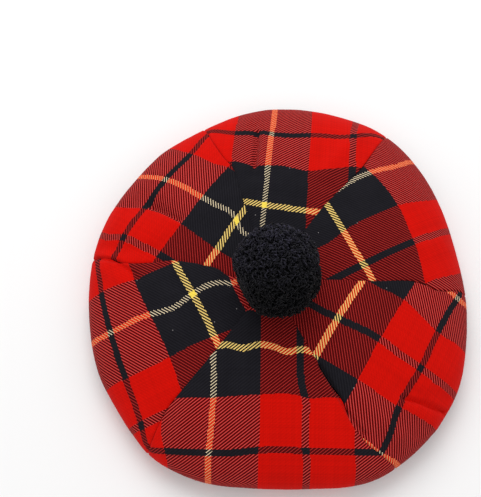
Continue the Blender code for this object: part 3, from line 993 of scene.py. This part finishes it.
def cloth_places(name, points, turn, share, under, rows_under):
    """For every point of a gore: its place in the sett, and its place on the cloth, both in mm."""
    edge = smooth_outline(turn, 1)
    angle = np.radians(turn - GRAIN[name][2])
    reach = np.where(under > 0, edge, edge * share)
    narrowing = 1 - UNDER_EASE * (1 - np.hypot(points[..., 0], points[..., 1]) / edge)
    out = reach * np.cos(angle)
    across = reach * np.sin(angle) * np.where(under > 0, narrowing, 1)
    slope, used = zip(*EDGE_SLOPE)
    along = out + np.interp(share, slope, used) + rows_under
    places = []
    for table, place, beside in ((RUNNING, across, out), (CROSSING, along, across)):
        first_number, stripes = table[name]
        lines = [smooth_line(beside, marks) for marks in stripes]
        places.append(sett_place(place, lines, first_number))
    return np.stack(places, axis=-1), np.stack([across, along], axis=-1)


print("cloth used up by the edge, mm:", EDGE_SLOPE[-1][1])

# %% [markdown]
# ## Sewing the gores
# The six gores could be cut out of one round surface, but the seams would then be only lines on
# it. So each gore is a piece of its own, as in the real hat: a grid of points, with rows from the
# button over the edge to the band, and columns that crowd together at the seams, where the roll
# is. One modifier gives it the thickness of the cloth.

# %% A sheet of cloth
def cloth_object(name, points, maps, thickness, finish):
    """A grid of points in mm as a piece of cloth, with its places on the flat cloth as UV maps."""
    made = new_piece(name, points, grid_faces(*points.shape[:2]), finish)
    for title, places in maps.items():
        lay_map(made, title, places * MM)
    wall = made.modifiers.new("thickness", "SOLIDIFY")
    wall.thickness = thickness * MM
    wall.offset = -1.0
    return made


def lengths(points, axis):
    """The distances between neighbouring points of a grid, mm."""
    return np.linalg.norm(np.diff(points, axis=axis), axis=-1)


def grid_area(points):
    """Area of a grid of points, mm2."""
    one, two = points[1:, 1:] - points[:-1, :-1], points[1:, :-1] - points[:-1, 1:]
    return np.linalg.norm(np.cross(one, two), axis=-1).sum() / 2


unit_square = np.array([[[0, 0, 0], [1, 0, 0]], [[0, 1, 0], [1, 1, 0]]])
print("area of a unit square:", grid_area(unit_square))

# %% Sew one gore
CLOTH = 1.4
COLUMNS = 108
SEAM_SPACE = 0.02         # between the two rolled edges of a seam
LOWEST = 0.25             # the cloth stays this far above the floor


def crowded_columns():
    """Places across a gore, -1 to 1, that lie closer and closer together toward its seams."""
    even = np.linspace(-1, 1, COLUMNS + 1)
    return 1.5 * even - 0.5 * even ** 3


def sew_gore(name, seed):
    """One gore of tartan, and the width, length and area of its cloth."""
    first, last, _ = GRAIN[name]
    way, v = np.meshgrid(even_rows(first, last), crowded_columns(), indexing="ij")
    points, turn, share, under = gore_surface(first, last, way, v)
    steps = np.linalg.norm(np.diff(points, axis=0, prepend=points[:1]), axis=-1)
    rows_under = np.cumsum(np.where(under > 0, steps, 0), axis=0)
    sett, on_cloth = cloth_places(name, points, turn, share, under, rows_under)

    out = sewn_forms(points, first, last, v, share, under, seed)
    points = points + surface_normals(points) * out[..., None]
    aside = np.radians(turn + 90)
    inset = -v * np.abs(v) ** SEAM_SHARPNESS * SEAM_SPACE / 2
    points[..., 0] += inset * np.cos(aside) + MIDDLE[0]
    points[..., 1] += inset * np.sin(aside) + MIDDLE[1]
    points[..., 2] = np.maximum(points[..., 2], LOWEST)

    maps = {"sett": sett, "threads": on_cloth}
    gore = cloth_object(name + "_cloth", points, maps, CLOTH, tartan_cloth)
    width = lengths(points, 1).sum(axis=1).max()
    length = lengths(points[:, COLUMNS // 2], 0).sum()
    return gore, width, length, grid_area(points)


print("the first columns beside a seam:", crowded_columns()[:4].round(4))

# %% Sew all six
for seed, name in enumerate(GRAIN):
    gore, width, length, area = sew_gore(name, seed)
    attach(gore, "root")
    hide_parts(name)
    print(name, "flat, mm:", round(width), round(length), "area, cm2:", round(area / 100))

# %% [markdown]
# ## The knit band
# The band is knitted in ribs, doubled, and sewn inside the edge of the crown. Its fold at the
# bottom is round, and it draws in, so the hat grips the head. A plain ring with ribs in its
# material would have too smooth an edge, and every stitch as a loop of yarn would take millions
# of faces. So each rib is modelled, and the stitches on the ribs are left to the material.

# %% The section of the band
BAND_UPRIGHT = 29.0       # the band leans inward below this height
BAND_FOOT_REACH = 76.0    # outer reach at its free edge, which the knit draws in
BAND_THICK = 3.8
LEAN_MORE = 1.02          # brings the leaning part up to the upright one
TOP_ROWS, LEAN_ROWS, FOLD_ROWS = 5, 17, 8


def band_profile():
    """The section of the band, from the seam down its outside, round the fold and up inside, mm."""
    half = BAND_THICK / 2
    lean = math.atan2(BAND_REACH - BAND_FOOT_REACH, BAND_UPRIGHT)
    outside = [(BAND_REACH, z) for z in np.linspace(BAND_TOP, BAND_UPRIGHT, TOP_ROWS)]
    outside += [(BAND_FOOT_REACH + (z - half) * math.tan(lean) * LEAN_MORE, z)
                for z in np.linspace(BAND_UPRIGHT, half, LEAN_ROWS)[1:]]
    fold = [(BAND_FOOT_REACH - half + half * math.cos(turn), half - half * math.sin(turn))
            for turn in np.linspace(0, math.pi, FOLD_ROWS)[1:-1]]
    inside = [(reach - BAND_THICK, z) for reach, z in reversed(outside)]
    return np.array(outside + fold + inside)


print("points of the section:", len(band_profile()))

# %% The ribs of the band
KNIT_RIBS, POINTS_PER_RIB = 190, 8
RIB_HEIGHT = 0.75
RIB_ROUND, RIB_LEVEL = 0.7, 0.6           # how round a rib's back is, and what is taken off it
STITCH = 1.9                              # height of one row of knitting
KNIT_SLACK = ((5, 0.5, 1), (11, 0.35, 0), (17, 0.25, 2))    # waves round the edge, height, start


def ribbed(profile, angle):
    """The band's section turned about the middle, with its ribs and its slack free edge."""
    reach, z = profile[:, :1], profile[:, 1:]
    slope = np.gradient(profile, axis=0)
    facing = slope / np.linalg.norm(slope, axis=1, keepdims=True)
    rib = np.abs(np.cos(KNIT_RIBS * angle / 2)) ** RIB_ROUND - RIB_LEVEL
    slack = sum(height * np.sin(count * angle + start) for count, height, start in KNIT_SLACK)
    wide = reach - RIB_HEIGHT * rib * facing[:, 1:] + slack * np.clip(1 - z / BAND_TOP, 0, 1)
    high = np.maximum(z + RIB_HEIGHT * rib * facing[:, :1], 0.0)
    return np.stack([wide * np.cos(angle) + MIDDLE[0], wide * np.sin(angle) + MIDDLE[1],
                     high + 0 * angle], axis=-1)


def ring_faces(rows, steps):
    """The faces of a grid that closes on itself both ways."""
    index = np.arange(rows * steps).reshape(rows, steps)
    after, below = np.roll(index, -1, axis=1), np.roll(index, -1, axis=0)
    quads = np.stack([index, after, np.roll(after, -1, axis=0), below], axis=-1)
    return quads.reshape(-1, 4).tolist()


def knit_band(finish):
    profile = band_profile()
    rows, steps = len(profile), KNIT_RIBS * POINTS_PER_RIB
    angle = np.linspace(0, math.tau, steps, endpoint=False)[None, :]
    made = new_piece("headband_knit", ribbed(profile, angle), ring_faces(rows, steps), finish)
    down = np.concatenate([[0], np.cumsum(np.linalg.norm(np.diff(profile, axis=0), axis=1))])
    ribs, stitches = np.meshgrid(np.arange(steps) / POINTS_PER_RIB, down / STITCH)
    lay_map(made, "knit", np.stack([ribs, stitches], axis=-1))
    return made


print("pitch of a rib, mm:", round(math.tau * BAND_REACH / KNIT_RIBS, 2))

# %% [markdown]
# Seen close, each rib is a column of small V stitches, a little fuzzy. A wave that runs up the
# rib and slants toward its middle draws them, and the same wave paints shade into the hollows and
# raises the yarn.

# %% The knit material
KNIT_BLACK = paint(36, 38, 43)
KNIT_SHADES = (0.6, 1.5)
KNIT_FUZZ = 900.0                         # to a metre
PLAIN_TONE, STITCH_TONE, FUZZ_TONE = 0.4, 0.5, 0.4
FUZZ_HEIGHT = 0.5
KNIT_RELIEF, KNIT_RELIEF_SHOWS = 0.35, 0.8          # mm, and a share


def knit_material():
    """Rows of small V stitches: each leg of a stitch slants toward the middle of its rib."""
    made, tree, shader = new_material("headband_knit", roughness=0.92, sheen=0.08)
    knit = tree.nodes.new("ShaderNodeUVMap")
    knit.uv_map = "knit"
    parts = tree.nodes.new("ShaderNodeSeparateXYZ")
    feed(tree, parts.inputs[0], knit.outputs["UV"])
    across = sums(tree, "FRACT", sums(tree, "ADD", parts.outputs["X"], 0.5))
    from_middle = sums(tree, "ABSOLUTE", sums(tree, "SUBTRACT", across, 0.5))
    slanted = sums(tree, "ADD", parts.outputs["Y"], from_middle)
    wave = sums(tree, "SINE", sums(tree, "MULTIPLY", slanted, math.tau))
    stitch = sums(tree, "MULTIPLY_ADD", wave, 0.5, 0.5)
    fuzz = cloudiness(tree, object_place(tree), KNIT_FUZZ, detail=3.0)
    plain = sums(tree, "MULTIPLY_ADD", fuzz, FUZZ_TONE, PLAIN_TONE)
    # painted shade: the stitch wave darkens the hollows between the stitches
    tone = sums(tree, "MULTIPLY_ADD", stitch, STITCH_TONE, plain)
    feed(tree, shader.inputs["Base Color"],
         blended(tree, "MIX", tone, *shades(KNIT_BLACK, *KNIT_SHADES)))
    height = sums(tree, "ADD", stitch, sums(tree, "MULTIPLY", fuzz, FUZZ_HEIGHT))
    bumped(tree, shader, height, KNIT_RELIEF * MM, KNIT_RELIEF_SHOWS)
    return made


headband = knit_band(knit_material())
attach(headband, "root")
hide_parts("headband")
print("points of the knit band:", len(headband.data.vertices))

# %% [markdown]
# ## The lining
# Under the crown hangs a thin dark lining, sewn in at the top of the band. It shows only from
# below, as a low dome with a few soft folds. It is one disc of cloth, so it is made like a gore:
# a grid of points that runs round and closes on itself, with a thickness.

# %% The shape of the lining
LINING_REACH = BAND_REACH - BAND_THICK - RIB_DEPTH - SEAM_GAP
LINING_HEM, LINING_RISE, LINING_THICK = 3.0, 8.0, 0.8
LINING_POLE = 0.4         # the grid ends in a hole of this reach at the top
LINING_ROWS, LINING_STEPS = 44, 180
LINING_FOLDS = (
    # turn, reach, turn, reach, half width, height
    (20, 84, 60, 25, 4.0, -1.2), (75, 85, 110, 30, 5.0, -1.0), (150, 84, 165, 20, 4.0, -1.3),
    (200, 85, 235, 38, 5.0, -0.9), (262, 84, 275, 30, 3.5, -1.4), (310, 85, 335, 30, 5.0, -1.1),
    (128, 60, 190, 55, 6.0, -0.7), (300, 50, 20, 48, 6.0, -0.7),
)


def hang_lining():
    """Points of the lining, from its top to its hem, and their places on the flat cloth, mm."""
    down = np.linspace(0, LINING_REACH + LINING_HEM, LINING_ROWS)[::-1]
    bend = np.clip(down / LINING_REACH, 0, 1)
    reach = np.clip(down, LINING_POLE, LINING_REACH)
    z = BAND_TOP + LINING_RISE * np.sqrt(1 - bend ** 2) - np.clip(down - LINING_REACH, 0, None)
    angle = np.linspace(0, 360, LINING_STEPS + 1)[None, :]
    x, y = polar(angle, reach[:, None])
    inside_seam = np.clip(2 - 2 * bend[:, None] ** 3, 0, 1)
    z = z[:, None] + fold_height(x, y, LINING_FOLDS) * inside_seam - LINING_THICK / 2
    hung = np.stack([x + MIDDLE[0], y + MIDDLE[1], z], axis=-1)
    return hung[::-1], np.stack([x, y], axis=-1)[::-1]


lining_points, lining_uv = hang_lining()
print("height of the lining's top, mm:", round(lining_points[0, 0, 2], 1))

# %% [markdown]
# The lining is a smooth, slightly shiny plain weave: over one thread, under one. Two waves at
# right angles, multiplied, give the same small squares without a picture, and cloudy patches make
# it worn.

# %% The lining's material
LINING_DARK = paint(40, 45, 52)
LINING_SHADES = (0.8, 1.3)
LINING_THREAD = 0.4
LINING_WORN = 45.0                        # patches to a metre
WEAVE_TONE, WORN_TONE = 0.25, 0.8
LINING_RELIEF, LINING_RELIEF_SHOWS = 0.08, 0.6      # mm, and a share


def lining_material():
    """A plain weave: two sets of waves at right angles."""
    made, tree, shader = new_material("lining_cloth", roughness=0.62, sheen=0.1, gloss=0.3)
    waves = [sums(tree, "SINE", sums(tree, "MULTIPLY", place, math.tau / LINING_THREAD))
             for place in map_in_mm(tree, "threads")]
    weave = sums(tree, "MULTIPLY_ADD", sums(tree, "MULTIPLY", *waves), 0.5, 0.5)
    worn = cloudiness(tree, object_place(tree), LINING_WORN, detail=4.0)
    tone = sums(tree, "MULTIPLY_ADD", weave, WEAVE_TONE, sums(tree, "MULTIPLY", worn, WORN_TONE))
    feed(tree, shader.inputs["Base Color"],
         blended(tree, "MIX", tone, *shades(LINING_DARK, *LINING_SHADES)))
    bumped(tree, shader, sums(tree, "ADD", weave, worn), LINING_RELIEF * MM, LINING_RELIEF_SHOWS)
    return made


print("threads of the lining to a cm:", round(10 / LINING_THREAD))

# %% Hang the lining
lining = cloth_object("lining_cloth", lining_points, {"threads": lining_uv}, LINING_THICK,
                      lining_material())
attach(lining, "root")
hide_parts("lining")

# %% [markdown]
# ## The pompom
# A pompom is wound yarn, tied in the middle and cut, so thousands of soft ends stand out of it.
# Blender's hair could grow them, but hair has no faces to hand on to another program. So each end
# is a short bent tube that tapers a little. They start on a dark core, which closes the gaps, and
# the ones underneath are pressed flat on the crown.

# %% Sizes of the pompom
POMPOM = np.array([30.6, 31.8, 28.5])        # half widths
POMPOM_PLACE = (4.2, -3.0)                   # from the crown's middle
POMPOM_SEAT, POMPOM_FLAT = 50.9, 0.9         # its foot, and how much of its lower half is left
PRESSED_SIDES = (
    # turn, share of the radius where the flat side begins, how flat
    (0, 0.7, 0.43), (207, 0.72, 1.85),
)
LUMPS = ((2.6, 0.045), (6.0, 0.035))         # how many to a radius, and how high
PARTING_WAY = np.array([-0.14, 0.93, 0.34])  # the yarn parts across this way, where it was tied
PARTING = (0.09, 0.075)                      # half width and depth, as shares of the radius
print("width of the pompom, mm:", 2 * POMPOM)

# %% Cut the yarn ends
YARN_ENDS, YARN_SIDES = 6000, 3
YARN_WIDTH = 1.0
YARN_SHORTEST, YARN_LONGEST = 0.935, 1.02    # share of the pompom's radius
YARN_ALONG = np.array([
    # how far out, how far aside, how wide
    (0.80, 0.00, 0.9), (0.93, 0.02, 1.0), (0.98, 0.05, 1.0), (0.995, 0.09, 1.0), (0.98, 0.13, 0.6),
])
YARN_RINGS = len(YARN_ALONG)
YARN_STRAY = 0.02                            # how unevenly the ends are spread
YARN_SWEEP = (0.4, 1.2)                      # how far an end goes aside, least and most
YARN_CURL = 1.1                              # radians that it winds round as it does
dice = np.random.default_rng(25)


def unit(vectors):
    return vectors / np.linalg.norm(vectors, axis=-1, keepdims=True)


def yarn_paths():
    """Points along each yarn end on a ball of radius 1: (ends, rings, 3)."""
    number = np.arange(YARN_ENDS)
    height = 1 - 2 * (number + 0.5) / YARN_ENDS
    turn = number * math.pi * (3 - math.sqrt(5))
    wide = np.sqrt(1 - height ** 2)
    way = np.stack([wide * np.cos(turn), wide * np.sin(turn), height], axis=-1)
    way = unit(way + dice.normal(0, YARN_STRAY, way.shape))
    aside = dice.normal(0, 1, way.shape)
    aside = unit(aside - (aside * way).sum(-1, keepdims=True) * way)
    twist = np.cross(way, aside)
    lumps = np.ones(YARN_ENDS)
    for often, high in LUMPS:
        lumps += high * np.array([noise.noise(Vector(place) * often) for place in way])
    lumps -= PARTING[1] * np.exp(-((way @ PARTING_WAY) / PARTING[0]) ** 2)
    reach = dice.uniform(YARN_SHORTEST, YARN_LONGEST, (YARN_ENDS, 1, 1)) * lumps[:, None, None]
    sweep = dice.uniform(*YARN_SWEEP, (YARN_ENDS, 1, 1))
    out, off = YARN_ALONG[None, :, 0, None], YARN_ALONG[None, :, 1, None]
    along = np.linspace(0, 1, YARN_RINGS)[None, :, None]
    wind = YARN_CURL * dice.uniform(-1, 1, (YARN_ENDS, 1, 1)) * along
    bent = np.cos(wind) * aside[:, None] + np.sin(wind) * twist[:, None]
    paths = (way[:, None] * out + bent * off * sweep) * reach
    for turn, start, flat in PRESSED_SIDES:
        side = np.array([*polar(turn, 1.0), 0.0])
        paths -= side * flat * np.maximum(paths @ side - start, 0)[..., None] ** 2
    return paths


print("yarn ends:", YARN_ENDS)

# %% Make tubes of them
TUBE_GUIDE = np.array([0.31, 0.52, 0.79])    # any way that no yarn end runs along


def yarn_tubes(paths):
    """Tubes round the paths, as points and faces."""
    along = unit(np.gradient(paths, axis=1))
    side = unit(np.cross(along, TUBE_GUIDE))
    other = np.cross(along, side)
    taper = YARN_ALONG[None, :, 2, None, None] * YARN_WIDTH / 2
    turn = np.arange(YARN_SIDES) * math.tau / YARN_SIDES
    ring = side[:, :, None] * np.cos(turn)[:, None] + other[:, :, None] * np.sin(turn)[:, None]
    points = paths[:, :, None] + ring * taper
    index = np.arange(YARN_ENDS * YARN_RINGS * YARN_SIDES)
    index = index.reshape(YARN_ENDS, YARN_RINGS, YARN_SIDES)
    after = np.roll(index, -1, axis=2)
    walls = np.stack([index[:, :-1], after[:, :-1], after[:, 1:], index[:, 1:]], axis=-1)
    return points.reshape(-1, 3), walls.reshape(-1, 4).tolist() + index[:, -1].tolist()


print("points of a yarn end:", YARN_RINGS * YARN_SIDES)

# %% Tie the pompom
CORE_SIZE, CORE_LUMPS = 0.82, (6, 0.03)
LIT_SIDE_WAY = np.array([-0.15, 0.85, 0.5])     # painted light: the yarn on this side, toward the lamp, is made paler
SIDE_LIGHT = (1.15, 0.42)                          # how much paler, and how much in the middle
LEAST_SIDE_LIGHT = 0.1
YARN_LIFT = 0.25                             # the lowest ends stay this far above the pompom's foot


def pompom_core(points, faces):
    """A lumpy dark ball inside the yarn ends, so that no light comes through."""
    ball = bmesh.new()
    bmesh.ops.create_icosphere(ball, subdivisions=4, radius=1.0)
    often, high = CORE_LUMPS
    lumpy = [vert.co * (CORE_SIZE + high * noise.noise(vert.co * often)) for vert in ball.verts]
    core = np.array([list(place) for place in lumpy]) * POMPOM
    count = len(points)
    faces = faces + [[count + vert.index for vert in face.verts] for face in ball.faces]
    ball.free()
    return np.concatenate([points, core]), faces


def lay_value(piece, title, values):
    """Give every point of a piece a number that its material can read."""
    piece.data.attributes.new(title, "FLOAT", "POINT").data.foreach_set("value", values)


def tie_pompom(finish):
    points, faces = pompom_core(*yarn_tubes(yarn_paths() * POMPOM))
    # painted light: paler toward the lamp, least on the far side
    side_light = np.maximum(SIDE_LIGHT[1] + SIDE_LIGHT[0] * (unit(points) @ LIT_SIDE_WAY), LEAST_SIDE_LIGHT)
    # painted shade at the roots: the tone grows from 0 at a root to 1 at a tip; the core keeps 0
    tips = np.zeros(len(points))
    along = np.tile(np.repeat(np.linspace(0, 1, YARN_RINGS), YARN_SIDES), YARN_ENDS)
    tips[:len(along)] = along
    foot = -POMPOM_FLAT * POMPOM[2]
    points[:, 2] = np.maximum(points[:, 2], foot + YARN_LIFT)
    points += np.array([MIDDLE[0] + POMPOM_PLACE[0], MIDDLE[1] + POMPOM_PLACE[1],
                        POMPOM_SEAT - foot])
    made = new_piece("pompom_yarn", points, faces, finish)
    lay_value(made, "tip", tips)
    lay_value(made, "side_light", side_light)
    return made


print("the pompom's foot, mm above the floor:", POMPOM_SEAT)

# %% [markdown]
# The yarn is nearly black, and it is the light on its tips that shows the ends one by one. The
# shader can tell loose pieces of a mesh apart, so one material gives each end its own shade. Two
# numbers stored on the points paint light and shade into it: how near to the tip a place is, and
# how far it lies toward the lamp.

# %% The yarn's material
YARN_BLACK = paint(15, 14, 21)
YARN_SHADES = (0.25, 8.5)
PALE_ENDS_RARE = 3.0                         # the higher, the fewer pale ends
STRAND_TONE, FIBRE_TONE = 0.7, 0.3
YARN_FIBRES = 1500.0                         # to a metre
YARN_RELIEF, YARN_RELIEF_SHOWS = 0.25, 0.8          # mm, and a share


def yarn_material():
    """Each end has its own shade, and painted light makes its tip and the side toward the lamp
    paler.
    """
    made, tree, shader = new_material("pompom_yarn", roughness=0.6, sheen=0.05, gloss=0.1)
    strand = tree.nodes.new("ShaderNodeNewGeometry").outputs["Random Per Island"]
    strand = sums(tree, "POWER", strand, PALE_ENDS_RARE)
    fibre = cloudiness(tree, object_place(tree), YARN_FIBRES, detail=2.0)
    fibre_tone = sums(tree, "MULTIPLY", fibre, FIBRE_TONE)
    tone = sums(tree, "MULTIPLY_ADD", strand, STRAND_TONE, fibre_tone)
    for title in ("tip", "side_light"):
        laid = tree.nodes.new("ShaderNodeAttribute")
        laid.attribute_name = title
        tone = sums(tree, "MULTIPLY", tone, laid.outputs["Fac"])
    feed(tree, shader.inputs["Base Color"],
         blended(tree, "MIX", tone, *shades(YARN_BLACK, *YARN_SHADES)))
    bumped(tree, shader, fibre, YARN_RELIEF * MM, YARN_RELIEF_SHOWS)
    return made


pompom = tie_pompom(yarn_material())
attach(pompom, "root")
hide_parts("pompom")
print("faces of the pompom:", len(pompom.data.polygons))
